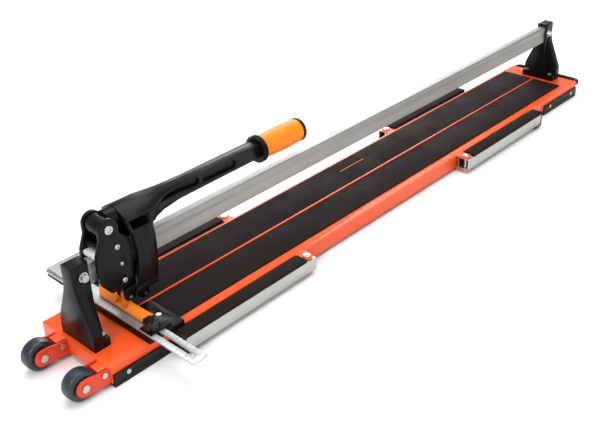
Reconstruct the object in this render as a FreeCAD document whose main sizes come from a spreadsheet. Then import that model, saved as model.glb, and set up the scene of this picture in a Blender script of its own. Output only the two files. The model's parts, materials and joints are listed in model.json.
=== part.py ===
"""Monorail tile cutter: a folded steel bed with two rubber deck pads, two cast posts carrying an
aluminium rail, a sliding carriage with a scoring and breaking lever, a graduated rule with a side
stop, four swing-out supports and a pair of transport wheels.

Millimetres. X runs along the bed from the wheels to the carry handle, Y across it, Z up. The origin
is on the floor, in the middle of the overall length and width.
"""
import FreeCAD, Part
import math
import os

import Sketcher

V = FreeCAD.Vector
doc = FreeCAD.newDocument("tile_cutter")

# ---------------------------------------------------------------- driving dimensions (mm)
DIMENSIONS = [
    # bed
    ("base_length", 1380), ("base_width", 170), ("deck_height", 35), ("skirt_depth", 27.6),
    ("sheet", 2), ("rib_width", 2.6), ("rib_rise", 4.6),
    ("pad_thick", 3), ("near_margin", 16.6), ("far_margin", 7), ("rear_margin", 52), ("pad_gap", 0.3),
    # corner feet
    ("foot_length", 150), ("foot_flange", 30), ("foot_wall", 3), ("foot_cover", 22),
    ("foot_screw_inset", 26), ("foot_screw_radius", 2), ("foot_head_radius", 4), ("foot_head_rise", 1),
    # posts and rail
    ("post_offset", 7), ("post_depth", 30), ("post_top_width", 23), ("post_foot_width", 82),
    ("post_rise_over_rail", 6.7), ("post_plate", 17), ("post_ledge_height", 13),
    ("rail_width", 17), ("rail_height", 36), ("rail_lift", 91.4), ("rail_wall", 2.5),
    ("rail_grip", 21), ("rail_bevel", 1.7), ("rail_bolt_radius", 4),
    ("post_bolt_radius", 3), ("post_bolt_spread", 58),
    # rule, its bearer, and the stops
    ("rule_offset", 73), ("rule_width", 28), ("rule_thick", 3), ("rule_length", 364),
    ("bearer_width", 32), ("bearer_height", 12), ("bearer_length", 172),
    ("slot_width", 6.4), ("slot_start", 60), ("slot_end", 168),
    ("clamp_radius", 3), ("knob_radius", 12.5), ("knob_height", 13), ("stop_offset", 75),
    ("stop_depth", 30), ("stop_length", 80), ("stop_height", 10),
    ("square_width", 72), ("square_depth", 41),
    # transport wheels
    ("wheel_radius", 24.5), ("wheel_width", 24), ("wheel_reach", 42.7), ("wheel_lift", 25.4),
    ("wheel_near", 67), ("wheel_far", 35), ("fork_gap", 26), ("fork_sheet", 3),
    ("axle_radius", 4), ("running_gap", 0.05),
    # carry handle
    ("handle_tube", 12), ("handle_reach", 18), ("handle_span", 160), ("handle_drop", 6),
    # swing-out supports
    ("arm_width", 25), ("arm_height", 23), ("arm_wall", 1.5), ("arm_gap", 4.5), ("arm_tail", 10.5),
    ("arm_length", 285), ("arm_front", 398), ("arm_rear", 883), ("lug_radius", 10.5),
    ("arm_bolt_radius", 4), ("arm_clear", 0.3), ("cap_thick", 5), ("cap_foot", 23),
    # carriage
    ("pivot_offset", 73), ("pivot_rise", 44.7), ("pivot_radius", 5), ("plate_gap", 31),
    ("plate_thick", 6), ("top_roller_radius", 10.5), ("low_roller_radius", 13), ("roller_width", 26),
    ("roller_gap", 0.15), ("roller_axle", 3),
    # lever
    ("hood_width", 58), ("hood_wall", 6.2), ("lever_width", 24), ("lever_length", 317),
    ("hub_radius", 15), ("hub_gap", 0.5), ("collar_radius", 23.5), ("collar_thick", 10),
    ("grip_radius", 21.2), ("grip_length", 98), ("grip_cap", 8),
    # cutting head
    ("cutter_radius", 11), ("cutter_width", 5), ("cutter_reach", 58), ("cutter_lift", 26),
    ("cutter_axle", 3), ("head_thick", 10), ("breaker_reach", 27), ("breaker_lift", 38),
    ("breaker_span", 124), ("breaker_depth", 15), ("breaker_height", 13), ("breaker_pin", 3),
]

sheet = doc.addObject("Spreadsheet::Sheet", "dims")
for row, (alias, size) in enumerate(DIMENSIONS, start=1):
    sheet.set(f"A{row}", alias)
    sheet.set(f"B{row}", str(size))
    sheet.setAlias(f"B{row}", alias)
doc.recompute()

# ---------------------------------------------------------------- places worked out from them
FRONT_OVER = "(dims.wheel_reach + dims.wheel_radius)"
REAR_OVER = "(dims.handle_reach + dims.handle_tube / 2)"
FRONT = f"(({FRONT_OVER} - {REAR_OVER} - dims.base_length) / 2)"
REAR = f"({FRONT} + dims.base_length)"
SIDE = "(dims.base_width / 2)"
DECK = "dims.deck_height"
PAD_TOP = f"({DECK} + dims.pad_thick)"
RAIL_Z = f"({DECK} + dims.rail_lift)"
RAIL_TOP = f"({RAIL_Z} + dims.rail_height)"
PIVOT_X = f"({FRONT} + dims.pivot_offset)"
PIVOT_Z = f"({RAIL_TOP} + dims.pivot_rise)"
PIVOT_OVER_DECK = "(dims.rail_lift + dims.rail_height + dims.pivot_rise)"
RAIL_DROP = "(dims.rail_height + dims.pivot_rise)"
RULE_Z = f"({DECK} + dims.bearer_height)"
RULE_X = f"({FRONT} + dims.rule_offset)"
RULE_MID = f"({RULE_X} + dims.rule_width / 2)"

PLANES = {"XY": "XY_Plane", "XZ": "XZ_Plane", "YZ": "YZ_Plane"}
AXES = {"XY": (0, 1, 2), "XZ": (0, 2, 1), "YZ": (1, 2, 0)}
AXIS_TURN = {
    "X": FreeCAD.Rotation(V(0, 1, 0), 90),
    "Y": FreeCAD.Rotation(V(1, 0, 0), -90),
    "Z": FreeCAD.Rotation(),
}


def size(alias):
    """The present value of one driving dimension."""
    return float(sheet.get(alias))


def place(obj, x="0", y="0", z="0"):
    """Ties an object's position to expressions."""
    for letter, expression in zip("xyz", (x, y, z)):
        obj.setExpression(f"Placement.Base.{letter}", expression)
    return obj


def block(name, low, sizes):
    """A box from its low corner and its three sizes."""
    obj = doc.addObject("Part::Box", name)
    for field, expression in zip(("Length", "Width", "Height"), sizes):
        obj.setExpression(field, expression)
    return place(obj, *low)


def rod(name, axis, radius, length, start):
    """A round bar that runs from start along one axis."""
    obj = doc.addObject("Part::Cylinder", name)
    obj.Placement = FreeCAD.Placement(V(), AXIS_TURN[axis])
    obj.setExpression("Radius", radius)
    obj.setExpression("Height", length)
    return place(obj, *start)


def hexagon(name, axis, radius, length, start):
    """A six-sided bar, as a bolt head or a nut."""
    obj = doc.addObject("Part::Prism", name)
    obj.Polygon = 6
    obj.Placement = FreeCAD.Placement(V(), AXIS_TURN[axis])
    obj.setExpression("Circumradius", radius)
    obj.setExpression("Height", length)
    return place(obj, *start)


def join(name, parts):
    obj = doc.addObject("Part::MultiFuse", name)
    obj.Shapes = parts
    return obj


def group(name, parts):
    """Several separate solids in one node."""
    obj = doc.addObject("Part::Compound", name)
    obj.Links = parts
    return obj


def cut(name, base, tools):
    obj = doc.addObject("Part::Cut", name)
    obj.Base = base
    obj.Tool = tools[0] if len(tools) == 1 else group(f"{name}_tools", tools)
    return obj


def overlap(name, first, second):
    """The space that two solids share."""
    obj = doc.addObject("Part::Common", name)
    obj.Base = first
    obj.Tool = second
    return obj


def draw_loop(sketch, corners, points):
    """Closes a loop of straight edges and ties each corner to a pair of expressions. points are
    rough starting places that go round the same way."""
    count = len(corners)
    for k in range(count):
        sketch.addGeometry(Part.LineSegment(points[k], points[(k + 1) % count]), False)
    for k in range(count):
        sketch.addConstraint(Sketcher.Constraint("Coincident", k, 2, (k + 1) % count, 1))
    for k, corner in enumerate(corners):
        for kind, start, expression in zip(("DistanceX", "DistanceY"), points[k], corner):
            number = sketch.addConstraint(Sketcher.Constraint(kind, -1, 1, k, 1, start))
            sketch.setExpression(f"Constraints[{number}]", expression)


def ring(count, middle, radius):
    """Evenly spaced points on a circle, as starting places for a loop."""
    turns = [2 * math.pi * k / count for k in range(count)]
    return [V(middle + radius * math.cos(t), radius * math.sin(t), 0) for t in turns]


def outline(name, plane, corners, thickness, at=("0", "0", "0"), rounds=None):
    """A flat piece: straight edges between corners drawn on one of the body's own planes, with
    the thickness shared equally on both sides of it. rounds gives the radius at some corners."""
    body = doc.addObject("PartDesign::Body", name)
    sketch = body.newObject("Sketcher::SketchObject", f"{name}_outline")
    origin_plane = [o for o in body.Origin.OriginFeatures if o.Role == PLANES[plane]][0]
    sketch.AttachmentSupport = [(origin_plane, "")]
    sketch.MapMode = "FlatFace"
    draw_loop(sketch, corners, ring(len(corners), 0.0, 50.0))
    pad = body.newObject("PartDesign::Pad", f"{name}_pad")
    pad.Profile = sketch
    pad.SideType = "Symmetric"
    pad.setExpression("Length", thickness)
    doc.recompute()
    round_corners(body, sketch, pad, plane, rounds or {})
    return place(body, *at)


def round_corners(body, sketch, pad, plane, rounds):
    """Rounds the upright edges of an outline at the corners asked for, largest radius first."""
    across, up, along = AXES[plane]
    spots = {k: sketch.Geometry[k].StartPoint for k in rounds}
    for radius in sorted(set(rounds.values()), reverse=True):
        names = []
        for index, edge in enumerate(body.Tip.Shape.Edges, start=1):
            middle = edge.CenterOfMass
            span = edge.Vertexes[0].Point - edge.Vertexes[-1].Point
            upright = abs(abs(span[along]) - pad.Length.Value) < 1e-3
            for k, spot in spots.items():
                near = abs(middle[across] - spot.x) < 1e-3 and abs(middle[up] - spot.y) < 1e-3
                if rounds[k] == radius and near and upright:
                    names.append(f"Edge{index}")
        base = body.Tip
        fillet = body.newObject("PartDesign::Fillet", f"{body.Name}_round")
        fillet.Base = (base, names)
        fillet.Radius = radius
        doc.recompute()


def turned(name, profile, at):
    """A turned piece: a closed profile of (radius, along) corners revolved about the Y axis."""
    body = doc.addObject("PartDesign::Body", name)
    sketch = body.newObject("Sketcher::SketchObject", f"{name}_profile")
    origin_plane = [o for o in body.Origin.OriginFeatures if o.Role == "XY_Plane"][0]
    sketch.AttachmentSupport = [(origin_plane, "")]
    sketch.MapMode = "FlatFace"
    draw_loop(sketch, profile, ring(len(profile), 40.0, 20.0))
    revolution = body.newObject("PartDesign::Revolution", f"{name}_turn")
    revolution.Profile = sketch
    revolution.ReferenceAxis = (sketch, ["V_Axis"])
    revolution.Angle = 360.0
    doc.recompute()
    return place(body, *at)


def loft(name, sections):
    """A solid with straight sides through upright cross-sections: pairs of an X and its corners,
    each corner across and up from the pivot."""
    sketches = []
    for number, (x, corners) in enumerate(sections):
        sketch = doc.addObject("Sketcher::SketchObject", f"{name}_section_{number}")
        sketch.Placement = FreeCAD.Placement(V(), FreeCAD.Rotation(V(1, 1, 1), 120))
        draw_loop(sketch, corners, ring(len(corners), 0.0, 50.0))
        sketches.append(place(sketch, x, "0", PIVOT_Z))
    solid = doc.addObject("Part::Loft", name)
    solid.Sections = sketches
    solid.Solid = True
    solid.Ruled = True
    return solid


nodes = {}


def keep(node, obj):
    """Names a finished sub-part."""
    obj.Label = node
    nodes[node] = obj
    return obj


SIDES = {"near": "-1", "far": "1"}
FORK_BOLT_Z = f"({DECK} - 6.5)"


# ---------------------------------------------------------------- bed
def base_tray():
    skirt_z = f"({DECK} - dims.skirt_depth)"
    outer = block("tray_outer", (FRONT, f"-{SIDE}", skirt_z),
                  ("dims.base_length", "dims.base_width", "dims.skirt_depth"))
    inner = block("tray_inner", (f"{FRONT} + dims.sheet", f"dims.sheet - {SIDE}", f"{skirt_z} - 1"),
                  ("dims.base_length - 2 * dims.sheet", "dims.base_width - 2 * dims.sheet",
                   "dims.skirt_depth - dims.sheet + 1"))
    rib = block("breaking_rib", (f"{FRONT} + dims.rule_offset + dims.bearer_width + 1",
                                 "-dims.rib_width / 2", f"{DECK} - dims.sheet"),
                ("dims.base_length - dims.rule_offset - dims.bearer_width - dims.rear_margin - 1",
                 "dims.rib_width", "dims.rib_rise + dims.sheet"))
    additions = [rib]
    for name, offset in (("near", "-dims.wheel_near"), ("far", "dims.wheel_far")):
        additions.append(block(f"lug_{name}", (f"{FRONT} - 15.5", f"{offset} - 10", f"{DECK} - 14"),
                               ("15.5 + dims.sheet / 2", "20", "13.5")))
    bolt_holes = []
    for arm in ARMS:
        pivot_x, pivot_y = arm_pivot(arm)
        side = SIDES[arm[1]]
        for level, low in (("top", f"{DECK} - dims.sheet"), ("low", skirt_z)):
            tab = f"{arm[0]}_{arm[1]}_{level}"
            additions.append(rod(f"ear_{tab}", "Z", "dims.lug_radius", "dims.sheet",
                                 (pivot_x, pivot_y, low)))
            additions.append(block(f"tab_{tab}", (f"{pivot_x} - dims.lug_radius",
                                                  f"min({pivot_y}; {side} * ({SIDE} - 1))", low),
                                   ("2 * dims.lug_radius", "dims.arm_gap + dims.arm_width / 2 + 1",
                                    "dims.sheet")))
        bolt_holes.append(rod(f"ear_hole_{arm[0]}_{arm[1]}", "Z", "dims.arm_bolt_radius",
                              "dims.skirt_depth + 2", (pivot_x, pivot_y, f"{skirt_z} - 1")))
    for name, offset in (("near", "-dims.wheel_near"), ("far", "dims.wheel_far")):
        bolt_holes.append(rod(f"lug_hole_{name}", "Y", "dims.post_bolt_radius", "22",
                              (f"{FRONT} - 10", f"{offset} - 11", FORK_BOLT_Z)))
    for x, y in post_bolt_places():
        bolt_holes.append(rod("deck_hole", "Z", "dims.post_bolt_radius", "dims.sheet + 2",
                              (x, y, f"{DECK} - dims.sheet - 1")))
    bolt_holes += foot_screw_holes("tray")
    shell = cut("tray_shell", outer, [inner])
    keep("base_tray", cut("tray", join("tray_joined", [shell] + additions), bolt_holes))


def deck_pads():
    start = "(dims.rule_offset + dims.bearer_width + 1)"
    for name, low_y in (("near", f"dims.near_margin - {SIDE}"),
                        ("far", "dims.rib_width / 2 + dims.pad_gap")):
        width = f"({SIDE} - dims.{name}_margin - dims.rib_width / 2 - dims.pad_gap)"
        pad = block(f"pad_{name}", (f"{FRONT} + {start}", low_y, DECK),
                    (f"dims.base_length - dims.rear_margin - {start}", width, "dims.pad_thick"))
        if name == "far":
            pad = cut("pad_far_cut", pad, [block("pad_far_slot", (f"{FRONT} + 663", "47.7", f"{DECK} - 1"),
                                                 ("77", "2.8", "dims.pad_thick + 2"))])
        keep(f"deck_pad_{name}", pad)


def foot_places():
    """Each corner foot: its name, its low X, and its side of the bed."""
    front_x = f"({FRONT} + 2)"
    rear_x = f"({REAR} - 2 - dims.foot_length)"
    return [(end, side, x) for end, x in (("front", front_x), ("rear", rear_x)) for side in SIDES]


def foot_screw_places():
    """The foot screws: which foot, the screw's X, its side of the bed, and its height."""
    height = f"(({DECK} - dims.skirt_depth + dims.foot_cover) / 2)"
    places = []
    for end, side, low_x in foot_places():
        for x in (f"({low_x} + dims.foot_screw_inset)",
                  f"({low_x} + dims.foot_length - dims.foot_screw_inset)"):
            places.append((f"{end}_{side}", x, SIDES[side], height))
    return places


def foot_screw_holes(prefix, tag=None):
    """Clearance through the skirt and the foot wall for the screws of one foot, or of all."""
    return [rod(f"{prefix}_screw_hole", "Y", "dims.foot_screw_radius", "dims.foot_wall + dims.sheet + 4",
                (x, f"{sign} * {SIDE} - (dims.foot_wall + dims.sheet + 4) / 2", z))
            for foot, x, sign, z in foot_screw_places() if tag in (None, foot)]


def corner_feet():
    skirt_z = f"({DECK} - dims.skirt_depth)"
    for end, side, low_x in foot_places():
        sign = SIDES[side]
        tag = f"{end}_{side}"
        outer_y = f"min({sign} * {SIDE}; {sign} * ({SIDE} + dims.foot_wall))"
        wall = block(f"foot_wall_{tag}", (low_x, outer_y, "0"),
                     ("dims.foot_length", "dims.foot_wall", "dims.foot_cover"))
        flange_y = f"min({sign} * {SIDE}; {sign} * ({SIDE} - dims.foot_flange))"
        flange = block(f"foot_flange_{tag}", (low_x, flange_y, "0"),
                       ("dims.foot_length", "dims.foot_flange", skirt_z))
        foot = join(f"foot_{tag}", [wall, flange])
        keep(f"corner_foot_{tag}", cut(f"foot_{tag}_cut", foot, foot_screw_holes(f"foot_{tag}", tag)))
    screws = []
    for foot, x, sign, z in foot_screw_places():
        inner_y = f"({sign} * ({SIDE} - dims.sheet - 1))"
        outer_y = f"({sign} * ({SIDE} + dims.foot_wall))"
        head_y = f"({sign} * ({SIDE} + dims.foot_wall + dims.foot_head_rise))"
        shank = rod(f"foot_shank_{foot}", "Y", "dims.foot_screw_radius", "dims.foot_wall + dims.sheet + 1",
                    (x, f"min({inner_y}; {outer_y})", z))
        head = rod(f"foot_head_{foot}", "Y", "dims.foot_head_radius", "dims.foot_head_rise",
                   (x, f"min({outer_y}; {head_y})", z))
        screws.append(join(f"foot_screw_{foot}", [shank, head]))
    keep("foot_screws", group("foot_screw_group", screws))


def post_bolt_places():
    """The flange bolts of both posts: on the ledge that faces the middle of the bed."""
    from_end = "(dims.post_offset + dims.post_depth - 6.5)"
    places = []
    for x in (f"({FRONT} + {from_end})", f"({REAR} - {from_end})"):
        for sign in SIDES.values():
            places.append((x, f"({sign} * dims.post_bolt_spread / 2)"))
    return places


def bell(name, half_top, half_foot, heights, thickness, at):
    """One upright slab of a post: straight at the top, flaring in an S to its foot. heights says
    where the flare ends at the foot and starts at the top."""
    ankle, shoulder = heights
    height = "(dims.rail_lift + dims.rail_height + dims.post_rise_over_rail)"
    corners = [(f"-{half_foot}", "0"), (half_foot, "0"), (half_foot, ankle),
               (half_top, shoulder), (half_top, height), (f"-{half_top}", height),
               (f"-{half_top}", shoulder), (f"-{half_foot}", ankle)]
    rounds = {2: 30.0, 7: 30.0, 3: 80.0, 6: 80.0, 4: 2.0, 5: 2.0}
    return outline(name, "YZ", corners, thickness, at, rounds)


def posts_and_rail():
    half_top = "(dims.post_top_width / 2)"
    half_foot = "(dims.post_foot_width / 2)"
    half_core = "(dims.post_foot_width / 2 - 19)"
    core_depth = "(dims.post_depth - dims.post_plate + 1)"
    bolts = []
    for end, edge, inward in (("front", FRONT, "1"), ("rear", REAR, "-1")):
        plate = bell(f"{end}_plate", half_top, half_foot, ("28", "(dims.rail_lift + 4)"), "dims.post_plate",
                     (f"{edge} + {inward} * (dims.post_offset + dims.post_plate / 2)", "0", DECK))
        core_x = f"{edge} + {inward} * (dims.post_offset + dims.post_depth - {core_depth} / 2)"
        core = bell(f"{end}_core", half_top, half_core, ("14", "(dims.rail_lift - 30)"), core_depth,
                    (core_x, "0", DECK))
        ledge = outline(f"{end}_ledge", "XY",
                        [(f"-{core_depth} / 2", f"-{half_foot}"), (f"{core_depth} / 2", f"-{half_foot}"),
                         (f"{core_depth} / 2", half_foot), (f"-{core_depth} / 2", half_foot)],
                        "dims.post_ledge_height", (core_x, "0", f"{DECK} + dims.post_ledge_height / 2"),
                        {0: 4.0, 1: 4.0, 2: 4.0, 3: 4.0})
        reach = "dims.rail_grip + 1"
        socket_low = f"({edge} + {inward} * (dims.post_offset + dims.post_depth - dims.rail_grip))"
        socket_far = f"({edge} + {inward} * (dims.post_offset + dims.post_depth + 1))"
        socket = block(f"{end}_socket", (f"min({socket_low}; {socket_far})",
                                         "-dims.rail_width / 2", RAIL_Z),
                       (reach, "dims.rail_width", "dims.rail_height"))
        tools = [socket]
        tools.append(rod(f"{end}_cross_hole", "Y", "dims.rail_bolt_radius", "dims.post_top_width + 2",
                         (rail_bolt_x(end), "-dims.post_top_width / 2 - 1", RAIL_BOLT_Z)))
        for name, low_y in (("near", "-dims.post_top_width / 2 - 8"), ("far", "dims.post_top_width / 2")):
            tools.append(rod(f"{end}_spot_face_{name}", "Y", "8.5", "8",
                             (rail_bolt_x(end), low_y, RAIL_BOLT_Z)))
        for x, y in post_bolt_places():
            if (end == "front") == x.startswith(f"({FRONT} +"):
                tools.append(rod(f"{end}_flange_hole", "Z", "dims.post_bolt_radius",
                                 "dims.post_ledge_height + 2", (x, y, f"{DECK} - 1")))
        keep(f"{end}_post", cut(f"{end}_post_cut", join(f"{end}_post_body", [plate, core, ledge]), tools))
    for number, (x, y) in enumerate(post_bolt_places()):
        ledge_top = f"({DECK} + dims.post_ledge_height)"
        shank = rod(f"post_shank_{number}", "Z", "dims.post_bolt_radius",
                    "dims.post_ledge_height + dims.sheet + 6", (x, y, f"{DECK} - dims.sheet - 6"))
        head = hexagon(f"post_head_{number}", "Z", "5.5", "4", (x, y, ledge_top))
        nut = hexagon(f"post_nut_{number}", "Z", "5.5", "4.5", (x, y, f"{DECK} - dims.sheet - 4.5"))
        bolts.append(join(f"post_bolt_{number}", [shank, head, nut]))
    keep("post_bolts", group("post_bolt_group", bolts))


RAIL_BOLT_Z = f"({RAIL_Z} + dims.rail_height * 0.55)"


def rail_bolt_x(end):
    edge, inward = (FRONT, "1") if end == "front" else (REAR, "-1")
    return f"({edge} + {inward} * (dims.post_offset + dims.post_depth - dims.rail_grip / 2))"


def rail():
    start = "(dims.post_offset + dims.post_depth - dims.rail_grip)"
    half = "(dims.rail_width / 2)"
    bevel = "dims.rail_bevel"
    top = "dims.rail_height"
    outer = outline("rail_outer", "YZ",
                    [(f"-{half}", "0"), (half, "0"), (half, f"{top} - {bevel}"), (f"{half} - {bevel}", top),
                     (f"{bevel} - {half}", top), (f"-{half}", f"{top} - {bevel}")],
                    f"dims.base_length - 2 * {start}",
                    (f"({FRONT} + {REAR}) / 2", "0", RAIL_Z))
    inner = block("rail_inner", (f"{FRONT} + {start} - 1", "dims.rail_wall - dims.rail_width / 2",
                                 f"{RAIL_Z} + dims.rail_wall"),
                  (f"dims.base_length - 2 * {start} + 2", "dims.rail_width - 2 * dims.rail_wall",
                   "dims.rail_height - 2 * dims.rail_wall"))
    holes = [rod(f"rail_hole_{end}", "Y", "dims.rail_bolt_radius", "dims.rail_width + 2",
                 (rail_bolt_x(end), "-dims.rail_width / 2 - 1", RAIL_BOLT_Z)) for end in ("front", "rear")]
    keep("guide_rail", cut("rail_tube", outer, [inner] + holes))
    bolts = []
    for end in ("front", "rear"):
        x = rail_bolt_x(end)
        half_post = "dims.post_top_width / 2"
        shank = rod(f"rail_shank_{end}", "Y", "dims.rail_bolt_radius", "dims.post_top_width + 6",
                    (x, f"-{half_post}", RAIL_BOLT_Z))
        washer = rod(f"rail_washer_{end}", "Y", "8", "1.5", (x, f"-{half_post} - 1.5", RAIL_BOLT_Z))
        head = hexagon(f"rail_head_{end}", "Y", "6.5", "5", (x, f"-{half_post} - 6.5", RAIL_BOLT_Z))
        nut = hexagon(f"rail_nut_{end}", "Y", "7", "6", (x, half_post, RAIL_BOLT_Z))
        bolts.append(join(f"rail_bolt_{end}", [shank, washer, head, nut]))
    keep("rail_bolts", group("rail_bolt_group", bolts))


# ---------------------------------------------------------------- rule and stops
STOP_Y = "(-dims.stop_offset)"
NUT_SIZE = 12.0
NUT_THICK = 4.0


def rule_and_bearer():
    bearer = block("bearer_bar", (f"{RULE_X} - 1", "-dims.bearer_length / 2", DECK),
                   ("dims.bearer_width", "dims.bearer_length", "dims.bearer_height"))
    groove = block("bearer_groove", (f"{RULE_MID} - 7.5", "-dims.bearer_length / 2 - 1", f"{DECK} + 5"),
                   ("15", "dims.bearer_length / 2 + 1 - dims.slot_start + 15", "dims.bearer_height"))
    keep("rule_bearer", cut("bearer", bearer, [groove]))
    blade = block("rule_blade", (RULE_X, "-dims.rule_length / 2", RULE_Z),
                  ("dims.rule_width", "dims.rule_length", "dims.rule_thick"))
    slot = block("rule_slot", (f"{RULE_MID} - dims.slot_width / 2", "-dims.slot_end", f"{RULE_Z} - 1"),
                 ("dims.slot_width", "dims.slot_end - dims.slot_start", "dims.rule_thick + 2"))
    keep("graduated_rule", cut("rule", blade, [slot]))
    square_y = "(dims.rule_length / 2 - dims.square_depth)"
    plate = outline("square_plate", "XY",
                    [("0", "0"), ("dims.square_width", "0"), ("dims.square_width", "dims.square_depth"),
                     ("0", "dims.square_depth")],
                    "dims.rule_thick", (f"{RULE_X} + 4", square_y, f"{RULE_Z} + dims.rule_thick * 1.5"),
                    {1: 3.0, 2: 3.0})
    keep("far_square", plate)
    keep("far_square_spacer", block("far_pad_block", (f"{RULE_X} + 3", square_y, f"{RULE_Z} - 10"),
                                    ("dims.rule_width - 6", "dims.square_depth", "10")))


def side_stop():
    rear_x = f"({RULE_X} - 1 + dims.bearer_width)"
    low = f"({PAD_TOP} + 0.3)"
    low_y = "(-dims.stop_length - 12)"
    body = block("stop_body", (f"{rear_x} + 0.8", low_y, low),
                 ("dims.stop_depth", "dims.stop_length", "dims.stop_height"))
    tongue_z = f"({RULE_Z} + dims.rule_thick + 0.2)"
    tongue = block("stop_tongue", (f"{RULE_X} + 1", f"{STOP_Y} - 13", tongue_z),
                   (f"{rear_x} + 8.8 - {RULE_X}", "26", "3"))
    riser = block("stop_riser", (f"{rear_x} + 0.8", f"{STOP_Y} - 13", f"{low} + dims.stop_height - 1"),
                  ("9", "26", f"{tongue_z} + 3 - {low} - dims.stop_height + 1"))
    bore = rod("stop_bore", "Z", "dims.clamp_radius + dims.running_gap", "5",
               (RULE_MID, STOP_Y, f"{tongue_z} - 1"))
    screw_x = f"({rear_x} + 0.8 + dims.stop_depth / 2)"
    well = rod("stop_well", "Z", "6.5", "6", (screw_x, "-50", f"{low} + dims.stop_height - 4"))
    keep("side_stop", cut("stop_cut", join("stop_joined", [body, tongue, riser]), [bore, well]))
    keep("stop_screw", rod("stop_pin", "Z", "4.5", "2.5", (screw_x, "-50", f"{low} + dims.stop_height - 4")))
    knob_z = f"({tongue_z} + 3.2)"
    knob = rod("knob_body", "Z", "dims.knob_radius", "dims.knob_height", (RULE_MID, STOP_Y, knob_z))
    flutes = []
    for k in range(8):
        angle = 2 * math.pi * k / 8
        flutes.append(rod(f"knob_flute_{k}", "Z", "2.2", "dims.knob_height + 2",
                          (f"{RULE_MID} + (dims.knob_radius + 0.8) * {math.cos(angle):.6f}",
                           f"{STOP_Y} + (dims.knob_radius + 0.8) * {math.sin(angle):.6f}",
                           f"{knob_z} - 1")))
    screw_low = f"({RULE_Z} - 0.3 - {NUT_THICK})"
    seat = rod("knob_seat", "Z", "dims.clamp_radius", "8", (RULE_MID, STOP_Y, f"{knob_z} - 1"))
    keep("stop_knob", cut("knob_cut", knob, flutes + [seat]))
    keep("stop_clamp_screw", rod("clamp_screw", "Z", "dims.clamp_radius",
                                 f"{knob_z} + 7 - {screw_low}", (RULE_MID, STOP_Y, screw_low)))
    nut = block("nut_block", (f"{RULE_MID} - {NUT_SIZE / 2}", f"{STOP_Y} - {NUT_SIZE / 2}", screw_low),
                (str(NUT_SIZE), str(NUT_SIZE), str(NUT_THICK)))
    nut_bore = rod("nut_bore", "Z", "dims.clamp_radius + dims.running_gap", "15",
                   (RULE_MID, STOP_Y, f"{screw_low} - 1"))
    neck = block("nut_neck", (f"{RULE_MID} - dims.slot_width / 2 + 0.4", f"{STOP_Y} - {NUT_SIZE / 2}",
                              screw_low),
                 ("dims.slot_width - 0.8", str(NUT_SIZE), f"{tongue_z} - {screw_low}"))
    keep("stop_nut", cut("nut_cut", join("nut_joined", [nut, neck]), [nut_bore]))


# ---------------------------------------------------------------- transport wheels
def transport_wheels():
    axle_x = f"({FRONT} - dims.wheel_reach)"
    axle_over_deck = f"(dims.wheel_lift - {DECK})"
    bolts = []
    for side, y in (("near", "(-dims.wheel_near)"), ("far", "dims.wheel_far")):
        radius = "dims.wheel_radius"
        half = "(dims.wheel_width / 2)"
        bore = "(dims.axle_radius + dims.running_gap)"
        wheel = turned(f"wheel_{side}_turned",
                       [(bore, f"-{half} - 0.6"), ("9", f"-{half} - 0.6"), ("9", f"-{half}"),
                        (f"{radius} - 5", f"-{half}"), (f"{radius} - 1.5", f"1.5 - {half}"),
                        (radius, f"5 - {half}"), (radius, f"{half} - 5"),
                        (f"{radius} - 1.5", f"{half} - 1.5"), (f"{radius} - 5", half), ("9", half),
                        ("9", f"{half} + 0.6"), (bore, f"{half} + 0.6")],
                       (axle_x, y, "dims.wheel_lift"))
        keep(f"transport_wheel_{side}", wheel)
        outer = "(dims.fork_gap + 2 * dims.fork_sheet)"
        profile = [("0", "1 - dims.skirt_depth"), ("0", "0"), ("-14", "0"),
                   ("-dims.wheel_reach + 8", f"{axle_over_deck} + 14"),
                   ("-dims.wheel_reach - 14", f"{axle_over_deck} + 14"),
                   ("-dims.wheel_reach - 14", f"{axle_over_deck} - 14"),
                   ("-dims.wheel_reach + 8", f"{axle_over_deck} - 14")]
        solid = outline(f"fork_{side}_side", "XZ", profile, outer, (FRONT, y, DECK),
                        {4: 13.9, 5: 13.9, 3: 8.0, 6: 8.0})
        gap = block(f"fork_{side}_gap", (f"{FRONT} - dims.wheel_reach - 20", f"{y} - dims.fork_gap / 2", "-1"),
                    ("dims.wheel_reach + 20 - dims.fork_sheet", "dims.fork_gap", f"{DECK} + 20"))
        window = block(f"fork_{side}_window", (f"{FRONT} - 5", f"{y} - 10.5", f"{DECK} - 14.5"),
                       ("10", "21", "16"))
        axle_hole = rod(f"fork_{side}_axle_hole", "Y", "dims.axle_radius", f"{outer} + 2",
                        (axle_x, f"{y} - {outer} / 2 - 1", "dims.wheel_lift"))
        bolt_hole = rod(f"fork_{side}_bolt_hole", "Y", "dims.post_bolt_radius", f"{outer} + 2",
                        (f"{FRONT} - 10", f"{y} - {outer} / 2 - 1", FORK_BOLT_Z))
        keep(f"wheel_fork_{side}", cut(f"fork_{side}_cut", solid, [gap, window, axle_hole, bolt_hole]))
        for kind, x, z, radius in (("axle", axle_x, "dims.wheel_lift", "dims.axle_radius"),
                                   ("root", f"{FRONT} - 10", FORK_BOLT_Z, "dims.post_bolt_radius")):
            low_y = f"({y} - {outer} / 2)"
            shank = rod(f"{kind}_shank_{side}", "Y", radius, f"{outer} + 2", (x, f"{low_y} - 1", z))
            head = hexagon(f"{kind}_head_{side}", "Y", f"{radius} * 1.7", "2.4", (x, f"{low_y} - 2.4", z))
            nut = hexagon(f"{kind}_nut_{side}", "Y", f"{radius} * 1.7", "3.5", (x, f"{low_y} + {outer}", z))
            bolts.append(join(f"{kind}_bolt_{side}", [shank, head, nut]))
    keep("wheel_bolts", group("wheel_bolt_group", bolts))


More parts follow.
